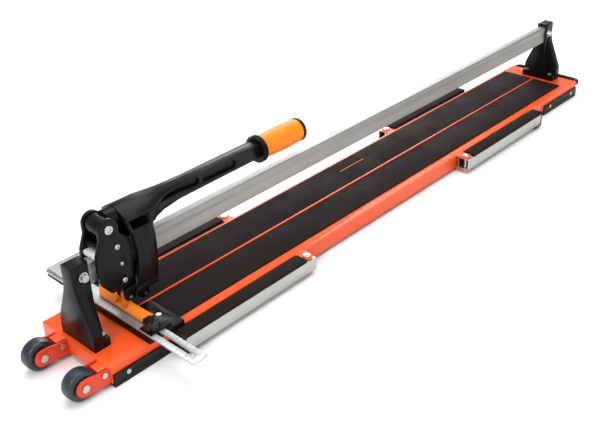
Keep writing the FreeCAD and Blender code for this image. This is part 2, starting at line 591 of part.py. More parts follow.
def carry_handle():
    """A bent round tube: two short legs out of the rear face and a bar between them."""
    radius = size("handle_tube") / 2
    half_span = size("handle_span") / 2
    reach = size("handle_reach")
    bend = 10.0
    corner = bend * (1 - math.sqrt(0.5))
    legs_y = (-half_span, half_span)
    points = [V(0, legs_y[0], 0), V(reach - bend, legs_y[0], 0), V(reach - corner, legs_y[0] + corner, 0),
              V(reach, legs_y[0] + bend, 0), V(reach, legs_y[1] - bend, 0),
              V(reach - corner, legs_y[1] - corner, 0), V(reach - bend, legs_y[1], 0), V(0, legs_y[1], 0)]
    path = Part.Wire([Part.LineSegment(points[0], points[1]).toShape(),
                      Part.Arc(points[1], points[2], points[3]).toShape(),
                      Part.LineSegment(points[3], points[4]).toShape(),
                      Part.Arc(points[4], points[5], points[6]).toShape(),
                      Part.LineSegment(points[6], points[7]).toShape()])
    section = Part.Wire([Part.Circle(points[0], V(1, 0, 0), radius).toShape()])
    tube = doc.addObject("Part::Feature", "handle_tube_bent")
    tube.Shape = path.makePipeShell([section], True, False)
    place(tube, REAR, "0", f"{DECK} - dims.handle_drop")
    keep("carry_handle", tube)


# ---------------------------------------------------------------- swing-out supports
ARMS = [("front", "near"), ("front", "far"), ("rear", "near"), ("rear", "far")]
ARM_TOP = f"({DECK} - dims.sheet - dims.arm_clear)"


def arm_pivot(arm):
    """A support's pivot; the front pair lies forward of its pivots, the rear pair behind."""
    end, side = arm
    x = f"({FRONT} + dims.arm_{end})"
    y = f"({SIDES[side]} * ({SIDE} + dims.arm_gap + dims.arm_width / 2))"
    return x, y


def swing_supports():
    bolts = []
    for arm in ARMS:
        end, side = arm
        tag = f"{end}_{side}"
        x, y = arm_pivot(arm)
        along = "-1" if end == "front" else "1"
        low_y = f"({y} - dims.arm_width / 2)"
        tube_len = "(dims.arm_tail + dims.arm_length - dims.cap_thick)"

        def span(name, start, length, low, high_y, z, height):
            """A block between two distances from the pivot, measured along the arm."""
            low_x = f"min({x} + {along} * ({start}); {x} + {along} * ({start} + {length}))"
            return block(name, (low_x, low, z), (length, high_y, height))

        tube = span(f"arm_{tag}_tube", "-dims.arm_tail", tube_len, low_y, "dims.arm_width",
                    f"{ARM_TOP} - dims.arm_height", "dims.arm_height")
        inside = span(f"arm_{tag}_inside", "-dims.arm_tail - 1", f"{tube_len} + 2",
                      f"{low_y} + dims.arm_wall", "dims.arm_width - 2 * dims.arm_wall",
                      f"{ARM_TOP} - dims.arm_height + dims.arm_wall", "dims.arm_height - 2 * dims.arm_wall")
        bore = rod(f"arm_{tag}_bore", "Z", "dims.arm_bolt_radius + dims.running_gap",
                   "dims.arm_height + 2", (x, y, f"{ARM_TOP} - dims.arm_height - 1"))
        keep(f"support_arm_{tag}", cut(f"arm_{tag}", tube, [inside, bore]))
        pad_start = "(dims.lug_radius + 0.7)"
        pad_low = f"({y} - dims.arm_width / 2 + 1)"
        pad = span(f"arm_{tag}_pad", pad_start, f"dims.arm_length - dims.cap_thick - {pad_start}",
                   pad_low, "dims.arm_width - 2", ARM_TOP, f"{PAD_TOP} - {ARM_TOP}")
        keep(f"arm_pad_{tag}", pad)
        foot_z = f"({ARM_TOP} - dims.arm_height - 4.7)"
        plate = span(f"arm_{tag}_cap", "dims.arm_length - dims.cap_thick", "dims.cap_thick", low_y,
                     "dims.arm_width", foot_z, f"{PAD_TOP} - {foot_z}")
        foot = span(f"arm_{tag}_foot", "dims.arm_length - dims.cap_foot", "dims.cap_foot", low_y,
                    "dims.arm_width", foot_z, "4.7")
        plug = span(f"arm_{tag}_plug", "dims.arm_length - dims.cap_thick - 15", "16",
                    f"{low_y} + dims.arm_wall", "dims.arm_width - 2 * dims.arm_wall",
                    f"{ARM_TOP} - dims.arm_height + dims.arm_wall", "dims.arm_height - 2 * dims.arm_wall")
        keep(f"arm_cap_{tag}", join(f"arm_{tag}_end", [plate, foot, plug]))
        skirt_z = f"({DECK} - dims.skirt_depth)"
        shank = rod(f"arm_shank_{tag}", "Z", "dims.arm_bolt_radius", "dims.skirt_depth + 3",
                    (x, y, f"{skirt_z} - 3"))
        head = rod(f"arm_head_{tag}", "Z", "7", "2.4", (x, y, DECK))
        nut = hexagon(f"arm_nut_{tag}", "Z", "7", "5", (x, y, f"{skirt_z} - 5"))
        bolts.append(join(f"arm_bolt_{tag}", [shank, head, nut]))
    keep("arm_pivot_bolts", group("arm_bolt_group", bolts))


# ---------------------------------------------------------------- carriage
TOP_AXLE = ("11", f"(dims.top_roller_radius + dims.roller_gap - dims.pivot_rise)")
LOW_AXLE = ("16", f"(0 - {RAIL_DROP} - dims.low_roller_radius - dims.roller_gap)")
ADJUSTER = ("15", f"(0 - {RAIL_DROP} + 0.45 * dims.rail_height)")
SPACER = ("-12", "(10 - dims.pivot_rise + 6)")


def from_pivot(spot, y="0"):
    return (f"{PIVOT_X} + {spot[0]}", y, f"{PIVOT_Z} + {spot[1]}")


def carriage():
    inner = "(dims.plate_gap / 2)"
    outer = f"({inner} + dims.plate_thick)"
    low = f"({LOW_AXLE[1]} - 12)"
    corners = [("-17", "17"), ("17", "17"), ("17", "-12"), ("34", "-30"), ("35", f"{low} + 12"),
               ("23", low), ("-9", low), ("-24", f"{low} + 20"), ("-28", f"{low} + 44"), ("-26", "-36"),
               ("-17", "-14")]
    rounds = {0: 16.9, 1: 16.9, 2: 8.0, 3: 8.0, 4: 8.0, 5: 6.0, 6: 10.0, 7: 10.0, 8: 10.0, 9: 8.0, 10: 8.0}
    for side, sign in SIDES.items():
        plate = outline(f"plate_{side}", "XZ", corners, "dims.plate_thick",
                        (PIVOT_X, f"{sign} * ({inner} + dims.plate_thick / 2)", PIVOT_Z), rounds)
        holes = []
        for name, spot, radius in (("pivot", ("0", "0"), "dims.pivot_radius"),
                                   ("top", TOP_AXLE, "dims.roller_axle"),
                                   ("low", LOW_AXLE, "dims.roller_axle"),
                                   ("adjuster", ADJUSTER, "dims.roller_axle")):
            x, y, z = from_pivot(spot, f"{sign} * {inner} - dims.plate_thick - 1")
            holes.append(rod(f"plate_{side}_{name}", "Y", radius, "2 * dims.plate_thick + 2", (x, y, z)))
        keep(f"carriage_plate_{side}", cut(f"plate_{side}_cut", plate, holes))
    span = f"(2 * {outer})"
    x, y, z = from_pivot(("0", "0"), f"-{outer}")
    shank = rod("pivot_shank", "Y", "dims.pivot_radius", span, (x, y, z))
    head = rod("pivot_head", "Y", "7.5", "3.5", (x, f"{y} - 3.5", z))
    nut = hexagon("pivot_nut", "Y", "8", "4", (x, outer, z))
    keep("pivot_bolt", join("pivot_joined", [shank, head, nut]))
    axles = []
    for name, spot in (("top", TOP_AXLE), ("low", LOW_AXLE)):
        x, y, z = from_pivot(spot, f"-{outer}")
        shank = rod(f"{name}_shank", "Y", "dims.roller_axle", span, (x, y, z))
        head = rod(f"{name}_head", "Y", "4.5", "1.1", (x, f"{y} - 1.1", z))
        nut = rod(f"{name}_nut", "Y", "4.5", "1.1", (x, outer, z))
        axles.append(join(f"{name}_axle", [shank, head, nut]))
    keep("roller_axles", group("roller_axle_group", axles))
    keep("front_spacer", rod("spacer_bar", "Y", "6", "dims.plate_gap", from_pivot(SPACER, f"-{inner}")))
    for kind, spot, radius in (("top", TOP_AXLE, "dims.top_roller_radius"),
                               ("low", LOW_AXLE, "dims.low_roller_radius")):
        half = "(dims.roller_width / 2)"
        bore = "(dims.roller_axle + dims.running_gap)"
        profile = [(bore, f"-{half}"), (f"{radius} - 1", f"-{half}"), (radius, f"1 - {half}"),
                   (radius, f"{half} - 1"), (f"{radius} - 1", half), (bore, half)]
        keep(f"{kind}_roller", turned(f"{kind}_roller_turned", profile, from_pivot(spot)))
    guides = []
    for side, sign in SIDES.items():
        shoe_y = f"min({sign} * {inner}; {sign} * (dims.rail_width / 2 + 0.4))"
        guides.append(block(f"shoe_{side}", (f"{PIVOT_X} - 24", shoe_y,
                                             f"{RAIL_TOP} - dims.rail_height * 0.75"),
                            ("54", f"{inner} - dims.rail_width / 2 - 0.4", "dims.rail_height * 0.45")))
    guides.append(block("shoe_top", (f"{PIVOT_X} - 24", f"-{inner}", f"{RAIL_TOP} + 0.4"),
                        ("18", "dims.plate_gap", "7")))
    keep("slide_shoes", group("slide_shoe_group", guides))
    screws = []
    for side, sign in SIDES.items():
        x, y, z = from_pivot(ADJUSTER, f"min({sign} * {inner}; {sign} * ({outer} + 1.1))")
        screws.append(rod(f"adjuster_{side}", "Y", "dims.roller_axle", "dims.plate_thick + 1.1", (x, y, z)))
    keep("adjuster_screws", group("adjuster_group", screws))


# ---------------------------------------------------------------- lever and cutting head
HEAD_Z = f"(dims.cutter_lift + 20 - {PIVOT_OVER_DECK})"
CUTTER = ("dims.cutter_reach", f"(dims.cutter_lift - {PIVOT_OVER_DECK})")
BREAKER = ("dims.breaker_reach", f"(dims.breaker_lift - {PIVOT_OVER_DECK})")
LEVER_END = "dims.lever_length"
LEVER_MID = "-1.5"


def crown(half, crease, ridge):
    """Half of a lever section from its upright side over the roof, mirrored: bottom, creases where
    the side meets the roof, two facets on each side, and the ridge."""
    floor = f"({HEAD_Z} - 20)"
    rise = ridge - crease
    over = [(half, str(crease)), (f"0.7 * {half}", str(crease + 0.45 * rise)),
            (f"0.32 * {half}", str(crease + 0.87 * rise))]
    back = [(f"-{y}", z) for y, z in reversed(over)]
    return [(f"-{half}", floor), (half, floor)] + over + [("0", str(ridge))] + back


def lever_casting():
    wide = "(dims.hood_width / 2)"
    slim = "(dims.lever_width / 2)"
    low = f"({HEAD_Z} + 5)"
    roof = loft("lever_roof", [
        (f"{PIVOT_X} + 10", crown(wide, 6.5, 21.5)),
        (f"{PIVOT_X} + 57", crown(wide, 6.5, 20.5)),
        (f"{PIVOT_X} + 76", crown(f"({wide} - 0.5)", 6.5, 20.0)),
        (f"{PIVOT_X} + 105", crown(f"({slim} + 5.5)", 9.0, 19.0)),
        (f"{PIVOT_X} + 140", crown(f"({slim} + 0.5)", 11.0, 17.5)),
        (f"{PIVOT_X} + 194", crown(slim, 11.5, 15.5)),
        (f"{PIVOT_X} + {LEVER_END}", crown(slim, 12.0, 15.0))])
    side = outline("lever_side", "XZ",
                   [("26", "40"), (LEVER_END, "40"), (LEVER_END, "-11.5"), ("150", "-13"), ("84", "-14.5"),
                    ("75", "-20"), ("79", "-42"), ("80", "-58"), ("78", "-84"), ("73", "-108"), ("70", low),
                    ("31", low), ("34", "-98"), ("39", "-78"), ("40", "-52"), ("36", "-24"), ("26", "7")],
                   "dims.hood_width + 2", (PIVOT_X, "0", PIVOT_Z), {5: 10.0, 10: 2.0, 11: 2.0})
    blank = overlap("lever_blank", side, roof)
    cavity_half = f"({wide} - dims.hood_wall)"
    cavity = outline("lever_cavity", "XZ",
                     [("-20", f"{low} - 20"), ("-20", "1"), ("60", "1"), ("70", "-10"),
                      ("73", "-58"), ("66", f"{low} - 20")],
                     f"2 * {cavity_half}", (PIVOT_X, "0", PIVOT_Z), {2: 6.0, 3: 6.0})
    rail_slot = block("lever_rail_slot", (f"{PIVOT_X} + 50", f"-{slim}", f"{PIVOT_Z} + {low} - 1"),
                      ("40", f"2 * {slim}", f"-36 - {low} + 1"))
    window = outline("lever_window", "XZ", [("31", "2"), ("68", "2"), ("68", "-15"), ("37", "-15")],
                     "dims.hood_width + 4", (PIVOT_X, "0", PIVOT_Z), {1: 2.0, 2: 2.0})
    tools = [cavity, rail_slot, window]
    for name, sign in SIDES.items():
        tools.append(outline(f"rear_bevel_{name}", "XY",
                             [("69", f"{sign} * ({wide} + 1)"), ("82", f"{sign} * ({wide} + 1)"),
                              ("82", f"{sign} * ({wide} - 7)")],
                             "110", (PIVOT_X, "0", f"{PIVOT_Z} - 72")))
        lip_y = f"min({sign} * ({wide} + 1); {sign} * ({wide} - 1.2))"
        tools.append(block(f"lip_groove_{name}", (f"{PIVOT_X} + 20", lip_y, f"{PIVOT_Z} + {low} + 8"),
                           ("70", "2.2", "3")))
        pocket_y = f"{sign} * ({slim} + 6)"
        tools.append(outline(f"long_pocket_{name}", "XZ",
                             [("90", "1"), ("182", "-5"), ("182", "8.5"), ("138", "9"), ("112", "6.5")],
                             "22", (PIVOT_X, pocket_y, PIVOT_Z), {1: 5.0, 2: 7.0}))
        tools.append(outline(f"short_pocket_{name}", "XZ",
                             [("189", "-5.5"), ("261", "-6.5"), ("261", "8"), ("189", "8.5")],
                             "22", (PIVOT_X, pocket_y, PIVOT_Z), {0: 3.0, 1: 5.0, 2: 7.0, 3: 3.0}))
    shell = cut("lever_shell", blank, tools)
    hub_half = "(dims.plate_gap / 2 - dims.hub_gap)"
    hub = rod("lever_hub", "Y", "dims.hub_radius", f"2 * {hub_half}", (PIVOT_X, f"-{hub_half}", PIVOT_Z))
    web = outline("lever_web", "YZ",
                  [(f"-{slim}", "0"), (slim, "0"), (slim, "13"), (f"{slim} - 3", "17"), (f"{slim} - 8", "19"),
                   (f"8 - {slim}", "19"), (f"3 - {slim}", "17"), (f"-{slim}", "13")],
                  "32", (f"{PIVOT_X} + 24", "0", PIVOT_Z))
    bore = rod("lever_bore", "Y", "dims.pivot_radius + dims.running_gap", f"2 * {hub_half} + 2",
               (PIVOT_X, f"-{hub_half} - 1", PIVOT_Z))
    keep("lever", cut("lever_cut", join("lever_joined", [shell, hub, web]), [bore]))


def lever_grip():
    """Collar, grip and end cap in line on the end of the lever."""
    start = f"({PIVOT_X} + {LEVER_END})"
    z = f"({PIVOT_Z} + {LEVER_MID})"
    collar = rod("collar_disc", "X", "dims.collar_radius", "dims.collar_thick", (start, "0", z))
    keep("lever_collar", collar)
    grip_x = f"({start} + dims.collar_thick)"
    keep("grip", rod("grip_bar", "X", "dims.grip_radius", "dims.grip_length - dims.grip_cap", (grip_x, "0", z)))
    keep("grip_cap", rod("grip_cap_disc", "X", "dims.grip_radius - 0.5", "dims.grip_cap",
                         (f"{grip_x} + dims.grip_length - dims.grip_cap", "0", z)))


def cutting_head():
    inside = "(dims.hood_width / 2 - dims.hood_wall)"
    bridge = block("head_bridge", (f"{PIVOT_X} + 41", f"-{inside}", f"{PIVOT_Z} + {HEAD_Z}"),
                   ("24", f"2 * {inside}", "dims.head_thick"))
    cheeks = outline("head_cheeks", "XZ",
                     [(f"{CUTTER[0]} - 10", HEAD_Z), (f"{CUTTER[0]} - 7.5", f"{CUTTER[1]} - 7.5"),
                      (f"{CUTTER[0]} + 7.5", f"{CUTTER[1]} - 7.5"), (f"{CUTTER[0]} + 9", f"{HEAD_Z} + 1"),
                      (f"{CUTTER[0]} - 10", f"{HEAD_Z} + 1")],
                     "16", (PIVOT_X, "0", PIVOT_Z), {1: 7.0, 2: 7.0})
    wheel_x, wheel_y, wheel_z = from_pivot(CUTTER)
    wheel_gap = block("head_wheel_gap", (f"{wheel_x} - 12.5", "-dims.cutter_width / 2 - 0.4",
                                         f"{wheel_z} - 15"),
                      ("25", "dims.cutter_width + 0.8", "15 + dims.cutter_radius + 1.5"))
    axle_hole = rod("head_axle_hole", "Y", "dims.cutter_axle", "20", (wheel_x, "-10", wheel_z))
    arm_low = f"({BREAKER[1]} - 7)"
    clevis = outline("head_clevis", "XZ",
                     [(f"{BREAKER[0]} - 8", arm_low), (f"{BREAKER[0]} + 8", arm_low),
                      (f"{BREAKER[0]} + 16", f"{HEAD_Z} - 1"), (f"{BREAKER[0]} + 16", f"{HEAD_Z} + 9"),
                      (f"{BREAKER[0]} - 8", f"{HEAD_Z} + 9")],
                     "24", (PIVOT_X, "0", PIVOT_Z), {0: 6.0, 1: 6.0, 4: 5.0})
    pin_x, pin_y, pin_z = from_pivot(BREAKER)
    foot_gap = block("head_foot_gap", (f"{pin_x} - 14", "-5.4", f"{pin_z} - 12"), ("24", "10.8", "21.5"))
    pin_hole = rod("head_pin_hole", "Y", "dims.breaker_pin", "26", (pin_x, "-13", pin_z))
    body = join("head_joined", [bridge, cheeks, clevis])
    keep("cutter_head", cut("head_cut", body, [wheel_gap, axle_hole, foot_gap, pin_hole]))
    half = "(dims.cutter_width / 2)"
    bore = "(dims.cutter_axle + dims.running_gap)"
    keep("cutting_wheel", turned("cutter_turned",
                                 [(bore, f"-{half}"), ("6", f"-{half}"), ("7", "-1.2"),
                                  ("dims.cutter_radius - 1.2", "-1.2"), ("dims.cutter_radius", "0"),
                                  ("dims.cutter_radius - 1.2", "1.2"), ("7", "1.2"), ("6", half), (bore, half)],
                                 (wheel_x, wheel_y, wheel_z)))
    keep("cutter_axle", rod("cutter_axle_rod", "Y", "dims.cutter_axle", "20", (wheel_x, "-10", wheel_z)))
    keep("breaker_pin", rod("breaker_pin_rod", "Y", "dims.breaker_pin", "28", (pin_x, "-14", pin_z)))
    bar_top = f"({DECK} + 17 + dims.breaker_height)"
    front_x = f"({pin_x} - dims.breaker_depth / 2 - 6)"
    half_span = "(dims.breaker_span / 2)"
    bar = outline("breaker_bar", "XZ",
                  [("0", "0"), ("dims.breaker_depth", "0"), ("dims.breaker_depth", "dims.breaker_height - 3"),
                   ("dims.breaker_depth - 3", "dims.breaker_height"), ("9", "dims.breaker_height"),
                   ("0", "dims.breaker_height - 8")],
                  "dims.breaker_span", (front_x, "0", f"{bar_top} - dims.breaker_height"))
    plan = outline("breaker_plan", "XY",
                   [("0", f"10 - {half_span}"), ("8", f"-{half_span}"), ("dims.breaker_depth", f"-{half_span}"),
                    ("dims.breaker_depth", half_span), ("8", half_span), ("0", f"{half_span} - 10")],
                   "60", (front_x, "0", bar_top))
    trimmed = overlap("breaker_blank", bar, plan)
    relief = block("breaker_relief", (f"{front_x} - 1", "-14", f"{bar_top} - 9"),
                   ("dims.breaker_depth + 2", "28", "12"))
    boss = rod("breaker_boss", "Y", "6", "10", (pin_x, "-5", pin_z))
    neck = block("breaker_neck", (f"{pin_x} - 6", "-5", f"{bar_top} - 10"),
                 ("12", "10", f"{pin_z} - {bar_top} + 10"))
    bore_tool = rod("breaker_bore", "Y", "dims.breaker_pin + dims.running_gap", "12", (pin_x, "-6", pin_z))
    foot = join("breaker_joined", [cut("breaker_trim", trimmed, [relief]), boss, neck])
    keep("breaker_foot", cut("breaker_cut", foot, [bore_tool]))


for build in (base_tray, deck_pads, corner_feet, posts_and_rail, rail, rule_and_bearer, side_stop,
              transport_wheels, carry_handle, swing_supports, carriage, lever_casting, lever_grip,
              cutting_head):
    build()
doc.recompute()

for obj in doc.Objects:
    if "Invalid" in obj.State or "Error" in obj.State:
        raise RuntimeError(f"{obj.Label} did not build: {obj.State}")
os.makedirs("parts", exist_ok=True)
for node, obj in nodes.items():
    if obj.Shape.isNull() or not obj.Shape.isValid():
        raise RuntimeError(f"{node} has no valid shape")
    obj.Shape.exportStep(f"parts/{node}.step")
print(len(nodes), "sub-parts")
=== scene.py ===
"""Finishing of the tile cutter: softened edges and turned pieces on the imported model, procedural
finishes, a pale floor, soft studio light and the camera. Metres, in the model's own frame."""
import json
import math

import bpy
from mathutils import Matrix, Vector


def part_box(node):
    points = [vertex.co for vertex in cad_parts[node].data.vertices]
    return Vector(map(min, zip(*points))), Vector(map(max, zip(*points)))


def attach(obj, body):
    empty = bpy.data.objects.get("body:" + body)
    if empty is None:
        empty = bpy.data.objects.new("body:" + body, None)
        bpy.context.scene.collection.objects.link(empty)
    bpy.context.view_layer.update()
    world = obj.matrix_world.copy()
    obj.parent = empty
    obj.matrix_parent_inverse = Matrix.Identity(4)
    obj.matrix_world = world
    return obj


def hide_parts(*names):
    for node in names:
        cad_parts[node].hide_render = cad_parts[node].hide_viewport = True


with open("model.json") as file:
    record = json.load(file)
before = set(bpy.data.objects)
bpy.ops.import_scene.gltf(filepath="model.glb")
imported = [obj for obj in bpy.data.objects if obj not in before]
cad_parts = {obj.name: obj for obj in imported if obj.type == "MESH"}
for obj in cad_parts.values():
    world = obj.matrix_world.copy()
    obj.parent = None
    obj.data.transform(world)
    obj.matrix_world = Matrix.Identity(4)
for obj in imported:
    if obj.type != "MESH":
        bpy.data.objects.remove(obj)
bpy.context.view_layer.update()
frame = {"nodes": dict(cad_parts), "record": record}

MM = 0.001
BODY_OF = {node: body for body, nodes in frame["record"]["behaviour"]["bodies"].items() for node in nodes}
SLOT_OF = {part["node"]: part["material_slot"] for part in frame["record"]["subparts"]}


# ---------------------------------------------------------------- finishes
def linear(hex_colour):
    """An sRGB hex colour as the linear values that a shader works with."""
    channels = [int(hex_colour[k:k + 2], 16) / 255 for k in (1, 3, 5)]
    return [c / 12.92 if c <= 0.04045 else ((c + 0.055) / 1.055) ** 2.4 for c in channels] + [1.0]


def per_metre(millimetres):
    """The scale of a pattern whose features are this far apart."""
    return 1000.0 / millimetres


def add(tree, kind, inputs=None, **settings):
    """Adds a node, sets it up, and fills its inputs with numbers or with other nodes' outputs."""
    node = tree.nodes.new(kind)
    for name, value in settings.items():
        setattr(node, name, value)
    for name, value in (inputs or {}).items():
        if isinstance(value, bpy.types.NodeSocket):
            tree.links.new(value, node.inputs[name])
        else:
            node.inputs[name].default_value = value
    return node


def blank(name):
    """A new material with an empty tree, and its object-space position output."""
    material = bpy.data.materials.new(name)
    material.use_nodes = True
    tree = material.node_tree
    tree.nodes.clear()
    return material, tree, add(tree, "ShaderNodeTexCoord").outputs["Object"]


def surface(tree, **inputs):
    """The shader itself, joined to the output. Underscores stand for the spaces in input names."""
    shader = add(tree, "ShaderNodeBsdfPrincipled", {k.replace("_", " "): v for k, v in inputs.items()})
    add(tree, "ShaderNodeOutputMaterial", {"Surface": shader.outputs["BSDF"]})


SCUFF_DULLING = 0.14  # roughness that a scuff adds to powder coat
LINE_LENGTH = 260     # mm, how far a draw line runs before it fades


def powder_coat(name, colour, dusty, grain, relief, smooth, rough, index=1.5):
    """Powder coat baked on metal: an even colour with a faint cloudiness, a fine orange-peel skin
    that breaks up the highlight, and sparse scuffs where the coat has been rubbed dull."""
    material, tree, place = blank(name)
    cloud = add(tree, "ShaderNodeTexNoise", {"Vector": place, "Scale": per_metre(140), "Detail": 3.0})
    peel = add(tree, "ShaderNodeTexNoise", {"Vector": place, "Scale": per_metre(grain), "Detail": 2.0})
    streak = add(tree, "ShaderNodeMapping",
                 {"Vector": place, "Scale": (per_metre(60), per_metre(9), per_metre(9))})
    rubbed = add(tree, "ShaderNodeTexNoise", {"Vector": streak.outputs[0], "Scale": 1.0, "Detail": 6.0})
    scuff = add(tree, "ShaderNodeMapRange",
                {"Value": rubbed.outputs["Fac"], "From Min": 0.62, "From Max": 0.74})
    tone = add(tree, "ShaderNodeMix",
               {"Factor": cloud.outputs["Fac"], "A": linear(colour), "B": linear(dusty)},
               data_type="RGBA")
    gloss = add(tree, "ShaderNodeMapRange",
                {"Value": peel.outputs["Fac"], "To Min": smooth, "To Max": rough})
    worn = add(tree, "ShaderNodeMath", {0: scuff.outputs[0], 1: SCUFF_DULLING, 2: gloss.outputs[0]},
               operation="MULTIPLY_ADD")
    bump = add(tree, "ShaderNodeBump",
               {"Height": peel.outputs["Fac"], "Strength": 0.5, "Distance": relief * MM})
    surface(tree, Base_Color=tone.outputs["Result"], Roughness=worn.outputs[0],
            Normal=bump.outputs["Normal"], IOR=index)
    return material


def moulded(name, colour, worn, grain, relief, smooth, rough, index=1.5):
    """Moulded rubber or plastic: a spark-eroded grain from the tool, a little dust in the low places
    and a sheen that changes slowly from place to place."""
    material, tree, place = blank(name)
    dust = add(tree, "ShaderNodeTexNoise", {"Vector": place, "Scale": per_metre(55), "Detail": 5.0})
    pebble = add(tree, "ShaderNodeTexVoronoi", {"Vector": place, "Scale": per_metre(grain)})
    fine = add(tree, "ShaderNodeTexNoise",
               {"Vector": place, "Scale": per_metre(grain * 0.6), "Detail": 3.0})
    height = add(tree, "ShaderNodeMath", {0: pebble.outputs["Distance"], 1: fine.outputs["Fac"]},
                 operation="ADD")
    tone = add(tree, "ShaderNodeMix",
               {"Factor": dust.outputs["Fac"], "A": linear(colour), "B": linear(worn)},
               data_type="RGBA")
    gloss = add(tree, "ShaderNodeMapRange",
                {"Value": dust.outputs["Fac"], "From Min": 0.3, "From Max": 0.7,
                 "To Min": smooth, "To Max": rough})
    bump = add(tree, "ShaderNodeBump",
               {"Height": height.outputs[0], "Strength": 0.6, "Distance": relief * MM})
    surface(tree, Base_Color=tone.outputs["Result"], Roughness=gloss.outputs[0],
            Normal=bump.outputs["Normal"], IOR=index)
    return material


def drawn_metal(name, colour, dull, line, along, smooth, rough, streaks=0.35):
    """Bare metal with the fine parallel lines of extrusion, rolling or grinding: the lines run one
    way, stretch the highlight across them and carry slight differences of tone."""
    material, tree, place = blank(name)
    scale = [per_metre(line)] * 3
    scale[along] = per_metre(LINE_LENGTH)
    lay = add(tree, "ShaderNodeMapping", {"Vector": place, "Scale": scale})
    lines = add(tree, "ShaderNodeTexNoise", {"Vector": lay.outputs[0], "Scale": 1.0, "Detail": 4.0})
    patch = add(tree, "ShaderNodeTexNoise", {"Vector": place, "Scale": per_metre(90), "Detail": 4.0})
    both = add(tree, "ShaderNodeMix",
               {"Factor": streaks, "A": patch.outputs["Fac"], "B": lines.outputs["Fac"]})
    tone = add(tree, "ShaderNodeMix",
               {"Factor": both.outputs["Result"], "A": linear(colour), "B": linear(dull)},
               data_type="RGBA")
    gloss = add(tree, "ShaderNodeMapRange",
                {"Value": both.outputs["Result"], "From Min": 0.3, "From Max": 0.7,
                 "To Min": smooth, "To Max": rough})
    bump = add(tree, "ShaderNodeBump",
               {"Height": lines.outputs["Fac"], "Strength": 0.25, "Distance": 0.03 * MM})
    surface(tree, Base_Color=tone.outputs["Result"], Metallic=1.0, Roughness=gloss.outputs[0],
            Normal=bump.outputs["Normal"])
    return material


def graduated_aluminium():
    """Satin anodised rule stock with printed graduations: a black line every 5 mm on both long
    edges, longer at each 10 mm. The 1 mm lines of the real scale are too fine to show."""
    material, tree, place = blank("anodised_rule_aluminium")
    low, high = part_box("graduated_rule")
    axes = add(tree, "ShaderNodeSeparateXYZ", {"Vector": place})
    brushed = add(tree, "ShaderNodeMapping",
                  {"Vector": place, "Scale": (per_metre(0.5), per_metre(60), 1.0)})
    lines = add(tree, "ShaderNodeTexNoise", {"Vector": brushed.outputs[0], "Scale": 1.0, "Detail": 3.0})
    tone = add(tree, "ShaderNodeMix",
               {"Factor": lines.outputs["Fac"], "A": linear("#C6C7C5"), "B": linear("#B6B8B7")},
               data_type="RGBA")
    middle = (low.x + high.x) / 2
    half = (high.x - low.x) / 2
    off = add(tree, "ShaderNodeMath", {0: axes.outputs["X"], 1: middle}, operation="SUBTRACT")
    off = add(tree, "ShaderNodeMath", {0: off.outputs[0]}, operation="ABSOLUTE")
    masks = []
    half_line = 0.45 * MM
    for pitch, reach in ((5 * MM, 4.0 * MM), (10 * MM, 7.0 * MM)):
        step = add(tree, "ShaderNodeMath", {0: axes.outputs["Y"], 1: pitch}, operation="PINGPONG")
        line = add(tree, "ShaderNodeMath", {0: step.outputs[0], 1: half_line}, operation="LESS_THAN")
        edge = add(tree, "ShaderNodeMath", {0: off.outputs[0], 1: half - reach}, operation="GREATER_THAN")
        masks.append(add(tree, "ShaderNodeMath", {0: line.outputs[0], 1: edge.outputs[0]},
                         operation="MULTIPLY"))
    ink = add(tree, "ShaderNodeMath", {0: masks[0].outputs[0], 1: masks[1].outputs[0]},
              operation="MAXIMUM")
    top = add(tree, "ShaderNodeMath", {0: axes.outputs["Z"], 1: high.z - 0.2 * MM},
              operation="GREATER_THAN")
    ink = add(tree, "ShaderNodeMath", {0: ink.outputs[0], 1: top.outputs[0]}, operation="MULTIPLY")
    ink = add(tree, "ShaderNodeMath", {0: ink.outputs[0], 1: 0.75}, operation="MULTIPLY")
    marked = add(tree, "ShaderNodeMix",
                 {"Factor": ink.outputs[0], "A": tone.outputs["Result"], "B": linear("#262626")},
                 data_type="RGBA")
    gloss = add(tree, "ShaderNodeMapRange",
                {"Value": lines.outputs["Fac"], "To Min": 0.34, "To Max": 0.5})
    bump = add(tree, "ShaderNodeBump",
               {"Height": lines.outputs["Fac"], "Strength": 0.2, "Distance": 0.02 * MM})
    surface(tree, Base_Color=marked.outputs["Result"], Metallic=0.85, Roughness=gloss.outputs[0],
            Normal=bump.outputs["Normal"])
    return material


def zinc_plate():
    """Bright zinc plate on steel hardware: cool silver with the faint yellow and blue cast of its
    passivation, in patches a few millimetres wide."""
    material, tree, place = blank("bright_zinc_plate")
    patch = add(tree, "ShaderNodeTexNoise", {"Vector": place, "Scale": per_metre(4), "Detail": 3.0})
    ramp = add(tree, "ShaderNodeValToRGB", {"Fac": patch.outputs["Fac"]})
    ramp.color_ramp.elements[0].position = 0.35
    ramp.color_ramp.elements[0].color = linear("#B4B7BC")
    ramp.color_ramp.elements[1].position = 0.68
    ramp.color_ramp.elements[1].color = linear("#C2BEAE")
    gloss = add(tree, "ShaderNodeMapRange", {"Value": patch.outputs["Fac"], "To Min": 0.18, "To Max": 0.4})
    bump = add(tree, "ShaderNodeBump",
               {"Height": patch.outputs["Fac"], "Strength": 0.2, "Distance": 0.05 * MM})
    surface(tree, Base_Color=ramp.outputs["Color"], Metallic=1.0, Roughness=gloss.outputs[0],
            Normal=bump.outputs["Normal"])
    return material


